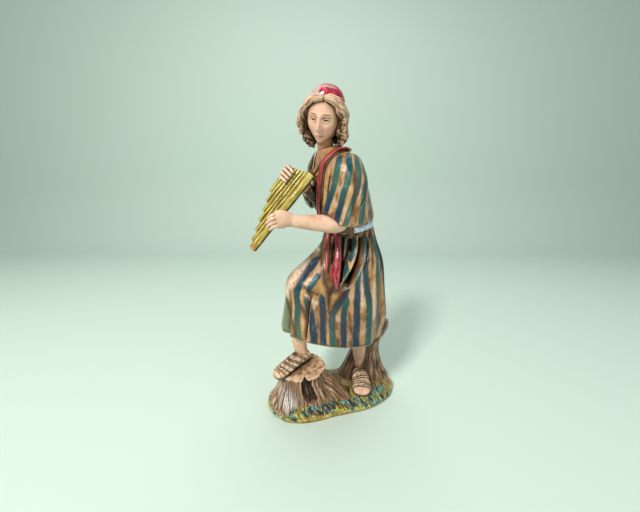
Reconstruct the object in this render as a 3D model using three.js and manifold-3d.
// A small moulded nativity figure: a young shepherd with one foot on a tree stump, holding pan pipes.
// The figure, the pipes and the grassy ground with its stumps are one solid casting.
// Millimetres, +Z up. The origin is the middle of the flat underside, and the figure is seen from -Y.
import * as THREE from "three";
import { mergeVertices } from "three/addons/utils/BufferGeometryUtils.js";
import Module from "manifold-3d";

// Height from the underside to the crown of the cap. Pose, proportions and carving scale with it:
// they are written below for a figure of DRAWN_HEIGHT.
const HEIGHT = 97.5;
const DRAWN_HEIGHT = 97.5;

// The ground that the figure stands on.
const BASE_LENGTH = 45;
const BASE_DEPTH = 21;
const BASE_TURN_DEG = 13;
const BASE_RIM_HEIGHT = 2.2;
const GROUND_HEIGHT = 4.2;

// The pan pipes.
const THICK_REED_DIAMETER = 2.2;
const THIN_REED_DIAMETER = 1.02;
const THIN_REEDS = 6;
const LONGEST_REED = 25.4;
const LONGEST_THIN_REED = 23.2;
const SHORTEST_THIN_REED = 8.4;
const REED_BITE = 0.13;

// The girdle and the scarf.
const BELT_WIDTH = 2.2;
const BELT_PROUD = 0.45;
const SCARF_WIDTH = 1.7;
const SCARF_THICKNESS = 1.3;

const DEG = Math.PI / 180;
const scale = HEIGHT / DRAWN_HEIGHT;

const wasm = await Module();
wasm.setup();

// Solids

function solidOf(geometry) {
  const bare = geometry.clone();
  bare.deleteAttribute("normal");
  bare.deleteAttribute("uv");
  const merged = mergeVertices(bare, 1e-4);
  const kept = [];
  const index = merged.index.array;
  for (let i = 0; i < index.length; i += 3) {
    const [a, b, c] = [index[i], index[i + 1], index[i + 2]];
    if (a !== b && b !== c && c !== a) kept.push(a, b, c);
  }
  const made = (triVerts) =>
    new wasm.Manifold(
      new wasm.Mesh({
        numProp: 3,
        vertProperties: merged.attributes.position.array,
        triVerts: new Uint32Array(triVerts),
      }),
    );
  const solid = made(kept);
  return solid.volume() > 0 ? solid : made(kept.reverse());
}

function geometryOf(solid) {
  const mesh = solid.getMesh();
  return new THREE.BufferGeometry()
    .setAttribute("position", new THREE.BufferAttribute(mesh.vertProperties, 3))
    .setIndex(new THREE.BufferAttribute(mesh.triVerts, 1));
}

function joined(solids) {
  return solids.reduce((whole, solid) => whole.add(solid));
}

// Curves and lofts

// Catmull-Rom through rows of numbers, at t from 0 to 1.
function spline(rows, t) {
  const at = Math.min(Math.max(t, 0), 1) * (rows.length - 1);
  const i = Math.min(Math.floor(at), rows.length - 2);
  const f = at - i;
  const row = (k) => rows[Math.min(Math.max(k, 0), rows.length - 1)];
  return row(i).map((_, k) => {
    const [p, q, r, s] = [row(i - 1)[k], row(i)[k], row(i + 1)[k], row(i + 2)[k]];
    return 0.5 * (2 * q + (r - p) * f + (2 * p - 5 * q + 4 * r - s) * f * f + (3 * q - p - 3 * r + s) * f ** 3);
  });
}

function bump(x, middle, width) {
  return Math.exp(-(((x - middle) / width) ** 2));
}

function smoothstep(x, low, high) {
  return THREE.MathUtils.smoothstep(x, low, high);
}

// The difference between two angles in degrees, from -180 to 180.
function turnBetween(a, b) {
  return ((((a - b + 180) % 360) + 360) % 360) - 180;
}

// A closed solid through stations [x, y, z, half width, half height, half height below], in the drawn figure's
// millimetres. `side` is the way that the first half-size points. `level` keeps every ring across that vector
// and not across the path. `round` draws in the start and the end over that share of the length, and
// `angle` moves the columns round.
function loft(stations, { around = 12, rows = 8, side = [1, 0, 0], level, relief, round = [0, 0], angle } = {}) {
  const grid = new THREE.SphereGeometry(1, around, rows + 2);
  const position = grid.attributes.position;
  const centre = (t) => new THREE.Vector3(...spline(stations, t).slice(0, 3));
  const step = 0.5 / rows;
  for (let row = 0; row <= rows + 2; row++) {
    const t = Math.min(Math.max((row - 1) / rows, 0), 1);
    const pole = row === 0 || row === rows + 2;
    const [x, y, z, a, b, below = b] = spline(stations, t);
    const ahead = centre(t + step).sub(centre(t - step)).normalize();
    const normal = level ? new THREE.Vector3(...level(t)).normalize() : ahead;
    const across = new THREE.Vector3(...side);
    across.addScaledVector(normal, -across.dot(normal)).normalize();
    const up = new THREE.Vector3().crossVectors(normal, across);
    const drawn = Math.min(
      round[0] > 0 ? Math.sqrt(Math.max(1 - (1 - Math.min(t / round[0], 1)) ** 2, 0.1)) : 1,
      round[1] > 0 ? Math.sqrt(Math.max(1 - (1 - Math.min((1 - t) / round[1], 1)) ** 2, 0.1)) : 1,
    );
    for (let column = 0; column <= around; column++) {
      const drawnAngle = ((column % around) / around) * 360;
      const turn = angle ? angle(drawnAngle, t) : drawnAngle;
      const [c, s] = [Math.cos(turn * DEG), Math.sin(turn * DEG)];
      const half = s < 0 ? below : b;
      const radius = (a * half) / Math.hypot(half * c, a * s) + (relief ? relief(turn, t, drawnAngle) : 0);
      const reach = pole ? 0 : radius * drawn;
      const point = new THREE.Vector3(x, y, z).addScaledVector(across, reach * c).addScaledVector(up, reach * s);
      position.setXYZ(row * (around + 1) + column, point.x, point.y, point.z);
    }
  }
  return solidOf(grid);
}

// The skirt and its folds

// The cloth drifts round towards the raised knee on its way down, and its folds and stripes go with it.
const DRIFT = { angle: 287, width: 47, size: 38, from: 0.2, to: 0.8 };

function clothAngle(column, t) {
  const drift = DRIFT.size * bump(turnBetween(column, DRIFT.angle), 0, DRIFT.width);
  return column - drift * smoothstep(t, DRIFT.from, DRIFT.to);
}

// Each fold is a groove down the cloth: its angle at the girdle, width in degrees, depth in millimetres,
// and the shares of the way down where it starts and ends.
const SKIRT_FOLDS = [
  { angle: 293, width: 7, depth: 2.3, ends: [0, 0.86] },
  { angle: 268, width: 6, depth: 1.2, ends: [0, 0.5] },
  { angle: 214, width: 6, depth: 2.0, ends: [0.42, 1.3] },
  { angle: 306, width: 5, depth: 1.0, ends: [0, 0.4] },
  { angle: 324, width: 5, depth: 1.0, ends: [0, 0.55] },
  { angle: 346, width: 7, depth: 0.8, ends: [0.1, 1.3] },
  { angle: 8, width: 7, depth: 1.0, ends: [0, 1.3] },
  { angle: 38, width: 7, depth: 1.2, ends: [0, 1.3] },
  { angle: 69, width: 7, depth: 1.1, ends: [0, 1.3] },
  { angle: 98, width: 7, depth: 1.2, ends: [0, 1.3] },
  { angle: 134, width: 7, depth: 1.2, ends: [0, 1.3] },
  { angle: 170, width: 7, depth: 1.1, ends: [0.1, 1.3] },
  { angle: 238, width: 6, depth: 0.8, ends: [0.55, 1.3] },
];
const GATHERS = { count: 15, depth: 0.4, reach: 0.3 };
const KNEE = { angle: 203, width: 34, size: 4.6, at: 0.46, spread: 0.22 };
const LAP = { angle: 250, width: 17, depth: 1.6, at: 0.42, spread: 0.14 };

function foldRelief(folds, angle, t) {
  let sum = 0;
  for (const { angle: middle, width, depth, ends } of folds) {
    const strength = smoothstep(t, ends[0] - 0.02, ends[0] + 0.12) * (1 - smoothstep(t, ends[1] - 0.15, ends[1]));
    const off = Math.abs(turnBetween(angle, middle)) / width;
    sum -= depth * strength * (Math.exp(-off * off) - 0.35 * Math.exp(-((off - 1.9) ** 2)));
  }
  return sum;
}

function skirtRelief(turn, t, column) {
  const knee = KNEE.size * bump(turnBetween(turn, KNEE.angle), 0, KNEE.width) * bump(t, KNEE.at, KNEE.spread);
  const lap = LAP.depth * bump(turnBetween(turn, LAP.angle), 0, LAP.width) * bump(t, LAP.at, LAP.spread);
  const gathers = GATHERS.depth * Math.cos(column * DEG * GATHERS.count) * (1 - smoothstep(t, 0, GATHERS.reach));
  return knee - lap + gathers + foldRelief(SKIRT_FOLDS, column, t);
}

// [x, y, z, half length, half depth] from the girdle to the hem. The rings lean with the body at the waist.
const SKIRT = [
  [5.4, 3.2, 58.8, 7.4, 6.8],
  [5.0, 2.8, 54.4, 8.9, 8.2],
  [4.2, 2.0, 48.4, 12.2, 9.4],
  [3.0, 1.4, 41.5, 14.3, 10.1],
  [1.8, 1.1, 33.8, 16.2, 10.7],
  [1.0, 0.9, 25.2, 17.3, 11.1],
];
const HEM_LEAN = [0.085, -0.02, 1];
const WAIST_LEAN = [-0.15, -0.12, 1];
const SHOULDER_LEAN = [-0.3, -0.2, 1];

function between(from, to, share) {
  return from.map((value, i) => THREE.MathUtils.lerp(value, to[i], share));
}

function skirt() {
  const level = (t) => between(WAIST_LEAN, HEM_LEAN, smoothstep(t, 0, 0.7));
  return loft(SKIRT, { around: 58, rows: 10, level, relief: skirtRelief, angle: clothAngle });
}

// The body above the girdle

const TORSO = [
  [5.6, 3.4, 57.4, 7.2, 6.6],
  [5.2, 3.0, 59.6, 7.4, 6.8],
  [4.7, 2.5, 61.8, 8.4, 7.9],
  [3.4, 1.5, 66.5, 8.8, 7.9],
  [1.8, 0.4, 71.4, 9.2, 7.4],
  [0.3, -0.6, 75.6, 9.6, 6.6],
  [-0.8, -1.3, 78.6, 8.4, 5.2],
  [-1.6, -1.8, 80.6, 5.4, 4.0],
  [-2.2, -2.2, 82.0, 3.1, 3.0],
];
const ACROSS_SHOULDERS = [0.6, -0.8, 0.12];
const BELT_AT = 0.16;

const TORSO_FOLDS = [
  { angle: 205, width: 9, depth: 0.6, ends: [0.2, 0.75] },
  { angle: 62, width: 10, depth: 0.8, ends: [0.15, 0.8] },
  { angle: 92, width: 9, depth: 0.6, ends: [0.15, 0.7] },
  { angle: 120, width: 10, depth: 0.8, ends: [0.15, 0.8] },
];

function torso() {
  return loft(TORSO, {
    around: 24,
    rows: 8,
    side: ACROSS_SHOULDERS,
    level: (t) => between(WAIST_LEAN, SHOULDER_LEAN, t),
    relief: (turn, t) => foldRelief(TORSO_FOLDS, turn, t),
  });
}

function belt() {
  const [x, y, z, a, b] = spline(TORSO, BELT_AT);
  const half = BELT_WIDTH / scale / 2;
  const ring = (up, out) => [x + WAIST_LEAN[0] * up, y + WAIST_LEAN[1] * up, z + up, a + out, b + out];
  const proud = BELT_PROUD / scale;
  return loft([ring(-half, 0), ring(-half * 0.7, proud), ring(half * 0.7, proud), ring(half, 0)], {
    around: 26,
    rows: 3,
    side: ACROSS_SHOULDERS,
    level: () => WAIST_LEAN,
  });
}

// Sleeves: stations from the shoulder to the cuff.
const NEAR_SLEEVE = [
  [0.6, -4.8, 78.0, 3.4, 3.2],
  [3.0, -7.0, 76.4, 4.6, 4.0],
  [3.8, -8.3, 73.2, 5.0, 4.2],
  [3.8, -8.9, 69.0, 5.3, 4.2],
  [3.5, -9.1, 65.2, 5.8, 4.3],
  [3.3, -9.2, 62.2, 6.0, 3.9],
];
// The near sleeve's rings lean with the arm at the shoulder, and its hem hangs lowest in front.
const NEAR_SLEEVE_LEAN = { shoulder: [0.6, -0.55, -0.6], hem: [-0.03, 0.35, -1] };
const FAR_SLEEVE = [
  [-2.0, 2.6, 77.0, 3.2, 3.2],
  [-3.4, 4.6, 72.6, 3.8, 3.9],
  [-4.1, 3.4, 68.8, 3.9, 4.2],
  [-5.7, 0.4, 71.2, 3.4, 4.3],
  [-7.7, -2.6, 72.4, 2.5, 2.8],
];
const SLEEVE_FOLDS = [
  { angle: 192, width: 12, depth: 0.7, ends: [0.25, 1.3] },
  { angle: 250, width: 10, depth: 0.6, ends: [0.45, 1.3] },
  { angle: 325, width: 12, depth: 0.6, ends: [0.3, 1.3] },
  { angle: 65, width: 14, depth: 0.6, ends: [0.3, 1.3] },
];

function sleeves() {
  const relief = (turn, t) => foldRelief(SLEEVE_FOLDS, turn, t);
  const level = (t) => between(NEAR_SLEEVE_LEAN.shoulder, NEAR_SLEEVE_LEAN.hem, smoothstep(t, 0, 0.8));
  return [
    loft(NEAR_SLEEVE, { around: 18, rows: 6, level, relief, round: [0.2, 0] }),
    loft(FAR_SLEEVE, { around: 10, rows: 6, round: [0.2, 0] }),
  ];
}

// Arms: stations from the elbow to the wrist, across and through the arm.
const NEAR_FOREARM = [
  [3.2, -9.4, 62.6, 2.0, 2.0],
  [0.6, -10.4, 61.5, 2.35, 2.25],
  [-3.6, -10.7, 61.8, 2.25, 2.1],
  [-8.0, -11.1, 62.1, 1.85, 1.7],
  [-11.4, -11.6, 62.6, 1.65, 1.2],
];
const FAR_FOREARM = [
  [-6.2, 0.2, 69.8, 2.1, 2.1],
  [-8.4, -3.0, 72.0, 1.9, 1.9],
  [-10.4, -5.2, 73.6, 1.6, 1.4],
  [-11.8, -6.3, 74.5, 1.45, 1.1],
];

function forearms() {
  return [
    loft(NEAR_FOREARM, { around: 10, rows: 5, side: [0, 0, 1], round: [0.15, 0] }),
    loft(FAR_FOREARM, { around: 8, rows: 4, side: [0, 0, 1], round: [0.15, 0] }),
  ];
}

// The pan pipes: a raft of reeds that hangs from `top` along `down`, with the short reeds towards `across`.
const PIPES = (() => {
  const top = new THREE.Vector3(-5.9, -8.5, 74.3);
  const down = new THREE.Vector3(-15.9, -2.5, -19.4).normalize();
  const face = new THREE.Vector3(-0.12, -1, 0.2);
  face.addScaledVector(down, -face.dot(down)).normalize();
  const across = new THREE.Vector3().crossVectors(down, face).normalize();
  if (across.x > 0) across.negate();
  return { top, down, face, across };
})();
const REED_SIDES = 8;
const REED_STAGGER = 0.31;
const REED_TIP_SHARE = 0.55;

function reed(diameter, length, offset, lower) {
  const radius = diameter / 2;
  const rim = radius * REED_TIP_SHARE;
  const outline = [
    [0, 0],
    [radius, 0],
    [radius, length - (radius - rim)],
    [rim, length],
    [0, length],
  ].map(([x, y]) => new THREE.Vector2(x, y));
  const geometry = new THREE.LatheGeometry(outline, REED_SIDES);
  const turn = new THREE.Quaternion().setFromUnitVectors(new THREE.Vector3(0, 1, 0), PIPES.down);
  const start = PIPES.top
    .clone()
    .multiplyScalar(scale)
    .addScaledVector(PIPES.across, offset)
    .addScaledVector(PIPES.down, lower);
  geometry.applyQuaternion(turn);
  geometry.translate(start.x, start.y, start.z);
  geometry.scale(1 / scale, 1 / scale, 1 / scale);
  return solidOf(geometry);
}

function pipes() {
  const pitch = THIN_REED_DIAMETER - REED_BITE;
  const first = (THICK_REED_DIAMETER + THIN_REED_DIAMETER) / 2 - REED_BITE;
  const reeds = [reed(THICK_REED_DIAMETER, LONGEST_REED, 0, 0)];
  for (let i = 0; i < THIN_REEDS; i++) {
    const share = i / Math.max(THIN_REEDS - 1, 1);
    const length = THREE.MathUtils.lerp(LONGEST_THIN_REED, SHORTEST_THIN_REED, share);
    reeds.push(reed(THIN_REED_DIAMETER, length, first + i * pitch, REED_STAGGER * (i + 1)));
  }
  return reeds;
}

// Hands: a palm and fingers that lie on the pipes. Finger stations are knuckle, joint and tip.
const FINGER = 0.56;
const NEAR_PALM = [
  [-10.6, -11.5, 62.5, 1.6, 1.2],
  [-12.4, -12.1, 62.9, 2.1, 1.25],
  [-14.0, -12.7, 63.1, 2.25, 1.1],
  [-15.0, -12.8, 62.9, 1.9, 0.8],
];
const NEAR_FINGERS = [
  [[-14.0, -12.8, 64.7], [-15.9, -13.1, 63.9], [-17.2, -12.3, 62.9]],
  [[-14.2, -12.9, 63.7], [-16.2, -13.2, 62.9], [-17.6, -12.3, 61.9]],
  [[-14.1, -12.8, 62.6], [-16.1, -13.1, 61.9], [-17.4, -12.3, 60.9]],
  [[-13.9, -12.6, 61.6], [-15.7, -12.9, 61.0], [-16.9, -12.2, 60.1]],
];
const NEAR_THUMB = [[-12.4, -11.4, 61.6], [-13.8, -9.9, 60.9], [-15.2, -8.7, 60.6]];
const FAR_PALM = [
  [-11.4, -6.1, 74.2, 1.5, 1.1],
  [-12.6, -6.6, 75.0, 2.0, 1.2],
  [-13.6, -6.8, 75.6, 2.1, 1.0],
];
const FAR_FINGERS = [
  [[-13.7, -6.9, 73.7], [-13.8, -8.6, 73.7], [-12.4, -9.5, 72.4]],
  [[-13.6, -6.9, 74.8], [-13.5, -8.7, 74.8], [-11.8, -9.4, 73.1]],
  [[-13.0, -6.9, 75.6], [-12.8, -8.6, 75.6], [-11.1, -9.4, 73.9]],
  [[-12.2, -6.8, 76.3], [-11.9, -8.4, 76.3], [-10.5, -9.3, 74.7]],
];

function finger(points, radius = FINGER) {
  const stations = points.map(([x, y, z], i) => [x, y, z, radius * (1 - 0.08 * i), radius * (1 - 0.08 * i)]);
  return loft(stations, { around: 6, rows: 3, side: [0, 0, 1], round: [0.12, 0.2] });
}

function hands() {
  const fingers = [...NEAR_FINGERS, ...FAR_FINGERS].map((points) => finger(points));
  return [
    loft(NEAR_PALM, { around: 10, rows: 3, side: [0, 0, 1], round: [0, 0.2] }),
    loft(FAR_PALM, { around: 8, rows: 3, side: [0.3, 0, 1], round: [0, 0.3] }),
    finger(NEAR_THUMB, FINGER * 1.15),
    ...fingers,
  ];
}

// Legs and feet. Feet stand on their own sole heights: stations run from heel to toe with half width,
// height above and depth below the middle line.
const STANDING_LEG = [
  [9.6, 4.8, 34, 3.2, 3.2],
  [10.5, 6.0, 24, 3.0, 3.0],
  [10.8, 6.9, 17, 2.6, 2.6],
  [10.9, 7.2, 11, 2.3, 2.2],
  [11.0, 7.4, 7.2, 2.4, 2.4],
];
const RAISED_LEG = [
  [-10.2, -1.4, 30, 2.2, 2.2],
  [-10.4, -1.4, 24, 2.4, 2.4],
  [-10.0, -1.0, 19.6, 2.15, 2.1],
  [-9.6, -0.8, 16.8, 2.3, 2.2],
];
const STANDING_FOOT = [
  [11.2, 9.6, 5.6, 1.8, 2.1, 1.5],
  [11.1, 7.4, 5.9, 2.3, 3.0, 1.8],
  [11.0, 4.2, 5.7, 2.6, 2.4, 1.7],
  [10.9, 0.6, 5.2, 3.0, 1.6, 1.3],
  [10.6, -2.2, 4.9, 2.9, 1.2, 1.1],
  [10.3, -4.3, 4.6, 2.2, 0.9, 0.9],
];
const RAISED_FOOT = [
  [-7.4, 0.8, 16.6, 1.8, 2.0, 1.5],
  [-8.9, -0.5, 16.7, 2.2, 2.6, 1.8],
  [-11.4, -2.5, 16.3, 2.4, 2.2, 1.8],
  [-14.0, -4.6, 15.3, 2.6, 1.6, 1.5],
  [-16.2, -6.4, 14.5, 2.5, 1.2, 1.2],
  [-17.8, -7.7, 14.0, 1.8, 0.9, 0.9],
];

function legs() {
  const foot = (stations, toes, side) =>
    loft(stations, { around: 10, rows: 6, side, level: () => toes, round: [0.12, 0.12] });
  return [
    loft(STANDING_LEG, { around: 8, rows: 4 }),
    loft(RAISED_LEG, { around: 8, rows: 4 }),
    foot(STANDING_FOOT, [-0.06, -1, 0], [1, -0.06, 0]),
    foot(RAISED_FOOT, [-0.76, -0.61, -0.16], [0.61, -0.79, 0]),
  ];
}

// The head, in a frame of its own: the face looks along -y, +x is the head's left, and the origin is between
// the ears.
const HEAD = { at: [-2.3, -4.0, 89.6], yaw: -16, pitch: 24, roll: 10 };
const SKULL = [4.9, 5.2, 6.9];

function faceRelief(x, z, front) {
  if (front <= 0) return 0;
  const nose = 1.25 * bump(x, 0, 0.75 + 0.12 * (1.6 - z)) * bump(z, -1.5, 1.15);
  const bridge = 0.55 * bump(x, 0, 0.6) * bump(z, 0.3, 1.3);
  const sockets = -0.75 * (bump(x, 1.75, 1.0) + bump(x, -1.75, 1.0)) * bump(z, 0.55, 0.8);
  const brow = 0.25 * bump(Math.abs(x), 1.6, 1.6) * bump(z, 1.9, 0.7);
  const lips = 0.42 * bump(x, 0, 1.15) * bump(z, -3.55, 0.6);
  const chin = 0.75 * bump(x, 0, 1.4) * bump(z, -5.9, 1.1);
  const cheeks = 0.3 * bump(Math.abs(x), 2.6, 1.3) * bump(z, -1.9, 1.6);
  const under = -0.35 * bump(x, 0, 1.5) * bump(z, -4.75, 0.5);
  return (nose + bridge + sockets + brow + lips + chin + cheeks + under) * Math.min(front * 1.6, 1);
}

function headShape() {
  const geometry = new THREE.SphereGeometry(1, 20, 18);
  geometry.rotateX(Math.PI / 2);
  const position = geometry.attributes.position;
  for (let i = 0; i < position.count; i++) {
    const p = new THREE.Vector3().fromBufferAttribute(position, i);
    const jaw = 1 - 0.36 * smoothstep(-p.z, 0.05, 1) ** 1.2;
    const front = Math.max(-p.y, 0);
    const x = p.x * SKULL[0] * jaw;
    const z = p.z * SKULL[2];
    const y = p.y * SKULL[1] * (p.y > 0 ? 1 : 0.93) - 0.25 * (1 - jaw) * SKULL[1];
    position.setXYZ(i, x, y - faceRelief(x, z, front), z);
  }
  return geometry;
}

function headMatrix() {
  const turn = new THREE.Matrix4()
    .makeRotationZ(HEAD.yaw * DEG)
    .multiply(new THREE.Matrix4().makeRotationY(HEAD.roll * DEG))
    .multiply(new THREE.Matrix4().makeRotationX(HEAD.pitch * DEG));
  return new THREE.Matrix4().makeTranslation(...HEAD.at).multiply(turn);
}

// Locks of hair in the head's frame, as [x, y, z, half width]. The front and middle ones roll from the parting
// over the temples and hang to the shoulders: those on the head's right curl in under the jaw.
const FRONT_RIGHT = [
  [0.7, -3.9, 4.3, 0.85], [-1.7, -4.0, 3.9, 1.0], [-3.7, -3.2, 2.7, 1.15], [-4.9, -2.5, 0.9, 1.3],
  [-5.5, -2.1, -1.6, 1.45], [-5.0, -1.9, -3.9, 1.3], [-3.7, -2.0, -5.8, 1.15], [-2.4, -2.4, -7.3, 0.7],
];
const FRONT_LEFT = [
  [-0.5, -3.9, 4.4, 0.85], [2.0, -3.8, 4.0, 1.0], [3.5, -3.1, 3.1, 1.1], [4.4, -2.5, 1.7, 1.2],
  [5.0, -1.9, -0.4, 1.35], [5.3, -1.7, -2.5, 1.4], [5.3, -1.8, -4.4, 1.25], [5.1, -2.0, -6.2, 0.7],
];
const MIDDLE_RIGHT = [
  [-0.4, -2.6, 4.4, 0.9], [-2.2, -2.4, 4.1, 1.1], [-3.9, -1.1, 3.1, 1.5], [-5.1, 0, 0.9, 1.6],
  [-5.6, 0.6, -1.8, 1.7], [-4.8, 0.8, -3.9, 1.45], [-3.5, 0.4, -6.0, 1.1], [-2.6, 0, -7.6, 0.6],
];
const MIDDLE_LEFT = [
  [0.4, -2.6, 4.5, 0.9], [2.2, -2.3, 4.2, 1.1], [3.7, -1.0, 3.2, 1.4], [4.2, 0.2, 1.7, 1.5],
  [4.7, 0.6, -0.9, 1.6], [5.1, 0.9, -3.3, 1.6], [5.1, 0.7, -5.4, 1.3], [4.8, 0.4, -7.2, 0.7],
];
const BACK_LOCK = [
  [1.5, 4.2, 2.8, 1.3], [3.0, 4.0, 1.4, 1.6], [3.8, 3.9, -1.2, 1.8], [3.7, 3.5, -4.4, 1.9], [3.0, 2.8, -7.6, 1.5],
];
const NAPE_LOCK = [
  [0, 4.9, 2.4, 1.4], [0, 5.4, 0.2, 1.9], [0.2, 5.2, -3.0, 1.9], [0.8, 4.3, -5.8, 1.9], [1.2, 3.4, -7.8, 1.4],
];
const HAIR_CORE = { size: [5.3, 5.1, 6.1], at: [-0.2, 0.9, 0.2] };

function lock(points, mirror = 1) {
  const stations = points.map(([x, y, z, half]) => [x * mirror, y, z, half, half]);
  return loft(stations, { around: 6, rows: 6, side: [0, 1, 0], round: [0.08, 0.15] });
}

function hair() {
  const core = new THREE.SphereGeometry(1, 12, 8).scale(...HAIR_CORE.size).translate(...HAIR_CORE.at);
  const locks = [FRONT_RIGHT, FRONT_LEFT, MIDDLE_RIGHT, MIDDLE_LEFT, BACK_LOCK, NAPE_LOCK];
  return [solidOf(core), ...locks.map((points) => lock(points)), lock(BACK_LOCK, -1)];
}

// The skullcap: a dome tipped back off the forehead.
const CAP = { at: [-0.1, 1.6, 3.6], size: [4.6, 5.0, 3.9], tip: -15, edge: 0.1 };

function cap() {
  const steps = 4;
  const outline = [new THREE.Vector2(0, Math.sin(CAP.edge))];
  for (let i = 0; i <= steps; i++) {
    const rise = CAP.edge + ((Math.PI / 2 - CAP.edge) * i) / steps;
    outline.push(new THREE.Vector2(i === steps ? 0 : Math.cos(rise), Math.sin(rise)));
  }
  const dome = new THREE.LatheGeometry(outline, 18).rotateX(Math.PI / 2).scale(...CAP.size);
  return solidOf(dome.rotateX(CAP.tip * DEG).translate(...CAP.at));
}

const NECK = [
  [-1.6, -1.0, 78.4, 2.8, 2.8],
  [-2.0, -1.8, 82.0, 2.3, 2.4],
  [-2.6, -2.8, 86.0, 2.3, 2.4],
];

function head() {
  const inPlace = (solid) => solidOf(geometryOf(solid).applyMatrix4(headMatrix()));
  const parts = [solidOf(headShape()), ...hair(), cap()].map(inPlace);
  return [...parts, loft(NECK, { around: 10, rows: 3 })];
}

// The scarf: round the back of the neck, over the near shoulder, down the chest and out below the girdle.
// Stations are x, y, z and the share of the scarf's width, which spreads on the shoulder.
const COLLAR = [
  [1.6, 2.0, 80.8, 1], [4.0, -0.6, 81.6, 1.2], [3.8, -3.2, 81.7, 1.4], [2.0, -5.4, 81.4, 1.4],
  [0.35, -6.5, 80.7, 1.4], [-1.3, -7.1, 79.4, 1.2], [-2.9, -7.3, 77.3, 1], [-3.5, -6.9, 75.0, 1],
  [-3.9, -5.8, 72.0, 1], [-4.1, -4.4, 68.6, 1], [-4.1, -3.0, 65.2, 1], [-3.6, -2.2, 61.6, 1],
];
const TAILS = [
  [
    [0.8, -2.4, 59.4, 0.9], [1.8, -4.9, 55.0, 0.9], [1.5, -7.1, 49.6, 1.4], [1.0, -7.9, 46.2, 1.5],
    [1.5, -8.6, 42.6, 0.4],
  ],
  [[-0.8, -1.2, 59.0, 0.6], [-1.5, -3.0, 54.6, 0.8], [-1.7, -5.7, 50.4, 0.8], [-1.1, -7.1, 47.4, 0.4]],
];

function scarf() {
  const half = SCARF_WIDTH / scale / 2;
  const thickness = SCARF_THICKNESS / scale / 2;
  const strand = loft(
    COLLAR.map(([x, y, z, share]) => [x, y, z, half * share, thickness]),
    { around: 6, rows: 10, side: ACROSS_SHOULDERS, round: [0.05, 0] },
  );
  const tails = TAILS.map((path) =>
    loft(
      path.map(([x, y, z, w]) => [x, y, z, w, thickness]),
      { around: 6, rows: 6, side: [1, -0.25, 0] },
    ),
  );
  return [strand, ...tails];
}

// The ground: an uneven slab whose underside is flat, with a stump and a broken trunk. Its outline runs
// through these shares of the half length and half depth, counter-clockwise from the right-hand end.
const OUTLINE = [
  [1, 0], [0.93, 0.44], [0.7, 0.82], [0.36, 0.98], [0, 1], [-0.38, 0.97], [-0.74, 0.8], [-0.95, 0.42],
  [-1, 0], [-0.95, -0.44], [-0.8, -0.8], [-0.57, -0.98], [-0.34, -1], [-0.16, -0.96], [0.12, -0.93], [0.4, -0.9],
  [0.68, -0.72], [0.9, -0.4],
];
const AROUND_GROUND = 36;

function groundOutline(share = 1) {
  const curve = new THREE.CatmullRomCurve3(
    OUTLINE.map(([x, y]) => new THREE.Vector3((x * BASE_LENGTH) / 2, (y * BASE_DEPTH) / 2, 0)),
    true,
  );
  const turn = BASE_TURN_DEG * DEG;
  return Array.from({ length: AROUND_GROUND }, (_, i) => {
    const point = curve.getPoint(i / AROUND_GROUND).multiplyScalar(share);
    return point.applyAxisAngle(new THREE.Vector3(0, 0, 1), turn);
  });
}

function ground() {
  const rings = [
    [0, 0],
    [0, 0.975],
    [BASE_RIM_HEIGHT * 0.45, 1],
    [BASE_RIM_HEIGHT, 0.98],
    [THREE.MathUtils.lerp(BASE_RIM_HEIGHT, GROUND_HEIGHT, 0.6), 0.9],
    [GROUND_HEIGHT, 0.74],
    [GROUND_HEIGHT, 0],
  ];
  const grid = new THREE.SphereGeometry(1, AROUND_GROUND, rings.length - 1);
  const position = grid.attributes.position;
  rings.forEach(([z, share], row) => {
    const ring = groundOutline(share);
    for (let column = 0; column <= AROUND_GROUND; column++) {
      const { x, y } = ring[column % AROUND_GROUND];
      position.setXYZ(row * (AROUND_GROUND + 1) + column, x, y, z);
    }
  });
  return solidOf(grid);
}

// The wood keeps inside this block, which is the ground's outline carried upwards.
function groundBlock(height) {
  const shape = new THREE.Shape(groundOutline(0.985).map(({ x, y }) => new THREE.Vector2(x, y)));
  return solidOf(new THREE.ExtrudeGeometry(shape, { depth: height, bevelEnabled: false }));
}

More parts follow.
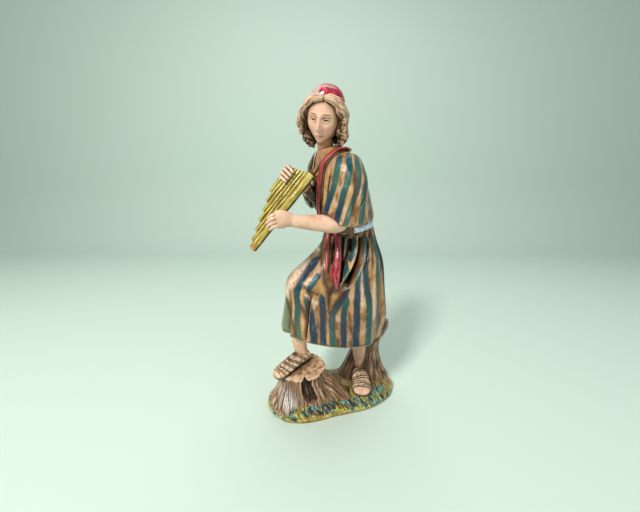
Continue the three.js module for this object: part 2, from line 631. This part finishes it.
const STUMP = [
  [-8.0, -2.6, -1.2, 13.4, 9.4],
  [-8.2, -3.0, 2.4, 12.3, 8.5],
  [-8.4, -3.4, 6.2, 10.8, 7.6],
  [-8.8, -3.7, 10.0, 8.0, 6.8],
  [-9.0, -3.8, 12.8, 7.2, 6.3],
  [-9.1, -3.8, 14.5, 6.8, 6.0],
];
const STUMP_TOP_LEAN = [-0.12, -0.11];
const ROOT = [
  [-5.2, -3.8, 11.0, 3.6, 3.2],
  [-2.0, -4.2, 8.8, 3.5, 3.2],
  [1.6, -4.6, 6.0, 3.2, 2.8],
  [4.8, -5.2, 3.4, 2.6, 2.2],
  [7.4, -5.8, 1.6, 1.8, 1.6],
];
const TRUNK = [
  [12.4, 7.6, -1.2, 10.8, 6.6],
  [12.2, 8.2, 3.4, 9.6, 5.4],
  [12.4, 8.9, 7.6, 7.2, 4.2],
  [12.9, 9.2, 12.6, 5.4, 3.5],
  [14.4, 8.8, 17.0, 4.0, 3.4],
  [16.6, 7.4, 21.0, 3.2, 3.0],
  [18.2, 5.8, 24.6, 2.2, 2.2],
  [19.1, 4.8, 27.2, 1.0, 1.1],
];
const HOLLOW = [
  [-8.6, -10.2, 13.8, 0.8, 1.2],
  [-8.2, -10.4, 11.0, 1.6, 2.0],
  [-7.2, -10.9, 8.0, 1.9, 2.2],
  [-5.8, -11.6, 5.2, 1.5, 1.6],
];

function bark(count, depth, phase) {
  return (turn, t) => {
    const ridges = Math.cos((count * turn + phase + 40 * t) * DEG) + 0.5 * Math.cos((2.4 * count * turn) * DEG);
    return depth * ridges * (1 - 0.55 * t);
  };
}

function wood() {
  const roots = (turn, t) => 0.8 * (1 - t) * Math.cos((5 * turn + 30) * DEG);
  const stumpBark = bark(9, 0.3, 30);
  const stump = loft(STUMP, {
    around: 30,
    rows: 6,
    level: (t) => [STUMP_TOP_LEAN[0] * smoothstep(t, 0.5, 1), STUMP_TOP_LEAN[1] * smoothstep(t, 0.5, 1), 1],
    relief: (turn, t) => stumpBark(turn, t) + roots(turn, t),
  });
  const root = loft(ROOT, { around: 8, rows: 5, side: [0, 1, 0] });
  const trunk = loft(TRUNK, { around: 14, rows: 8, level: () => [0, 0, 1], relief: bark(7, 0.25, 0) });
  const hollow = loft(HOLLOW, { around: 8, rows: 4, round: [0.2, 0.1] });
  return stump.add(root).subtract(hollow).add(trunk);
}

// The whole casting: the figure's parts at their scale on the ground, whose middle is the origin.
const FIGURE_AT = [-1.1, -1.3, 0];

function placed(solid) {
  return solidOf(geometryOf(solid).translate(...FIGURE_AT).scale(scale, scale, scale));
}

function casting() {
  const figure = joined([
    skirt(), torso(), belt(), ...sleeves(), ...forearms(), ...pipes(), ...hands(), ...legs(), ...head(), ...scarf(),
  ]);
  const standingWood = placed(wood()).intersect(groundBlock(HEIGHT * 0.3));
  return ground().add(standingWood).add(placed(figure));
}

const painted = new THREE.MeshStandardMaterial({ color: 0xa8794e, roughness: 0.32, metalness: 0 });
const shepherd = new THREE.Mesh(geometryOf(casting()), painted);
shepherd.name = "shepherd_figure";

const part = new THREE.Group();
part.add(shepherd);

export default part;
